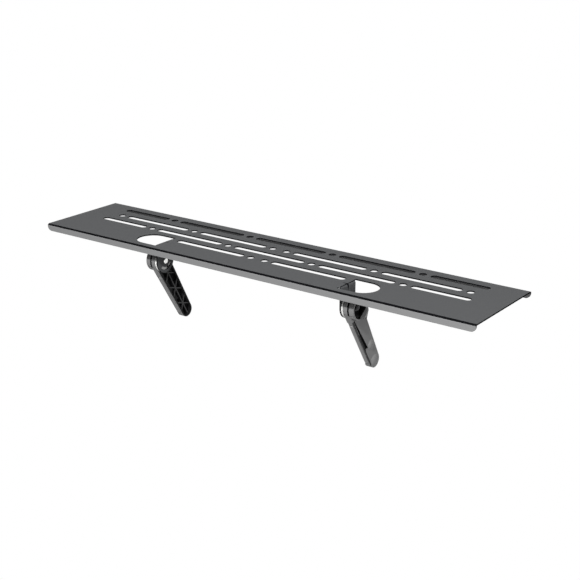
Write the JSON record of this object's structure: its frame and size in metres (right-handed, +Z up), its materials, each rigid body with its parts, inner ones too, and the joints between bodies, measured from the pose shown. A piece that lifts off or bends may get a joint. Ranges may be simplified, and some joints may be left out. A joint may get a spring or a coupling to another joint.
{
  "type": "tv top shelf",
  "caption": "Folded steel shelf for the top edge of a flat television, with slotted deck, front lip and swing arms.",
  "frame": {"origin": "underside of the middle seat pad, at mid-width: the face that rests on the television's top edge", "axes": "+X along the shelf to the right as seen from the front, +Y to the back, +Z up"},
  "size_m": [0.6, 0.123, 0.108],
  "materials": {
    "powder_coated_steel": "satin",
    "black_plastic": "satin",
    "strip_rubber": "matte",
    "rubber": "matte",
    "white_nylon": "satin",
    "bright_steel": "satin",
    "blackened_steel": "satin"
  },
  "bodies": {
    "shelf": {"shelf_plate": "powder_coated_steel", "seat_pads": "rubber", "left_stud": "bright_steel", "right_stud": "bright_steel"},
    "left_support": {"left_arm": "black_plastic", "left_arm_strip": "strip_rubber", "left_friction_washer": "white_nylon", "left_flat_washer": "blackened_steel", "left_lock_nut": "blackened_steel"},
    "right_support": {"right_arm": "black_plastic", "right_arm_strip": "strip_rubber", "right_friction_washer": "white_nylon", "right_flat_washer": "blackened_steel", "right_lock_nut": "blackened_steel"}
  },
  "joints": [
    {"name": "left_swing", "type": "hinge", "parent": "shelf", "child": "left_support", "pos_m": [-0.1378, 0.0187, -0.021], "axis": [1, 0, 0], "range_deg": [-64, 33]},
    {"name": "right_swing", "type": "hinge", "parent": "shelf", "child": "right_support", "pos_m": [0.1378, 0.0187, -0.021], "axis": [1, 0, 0], "range_deg": [-64, 33]}
  ]
}
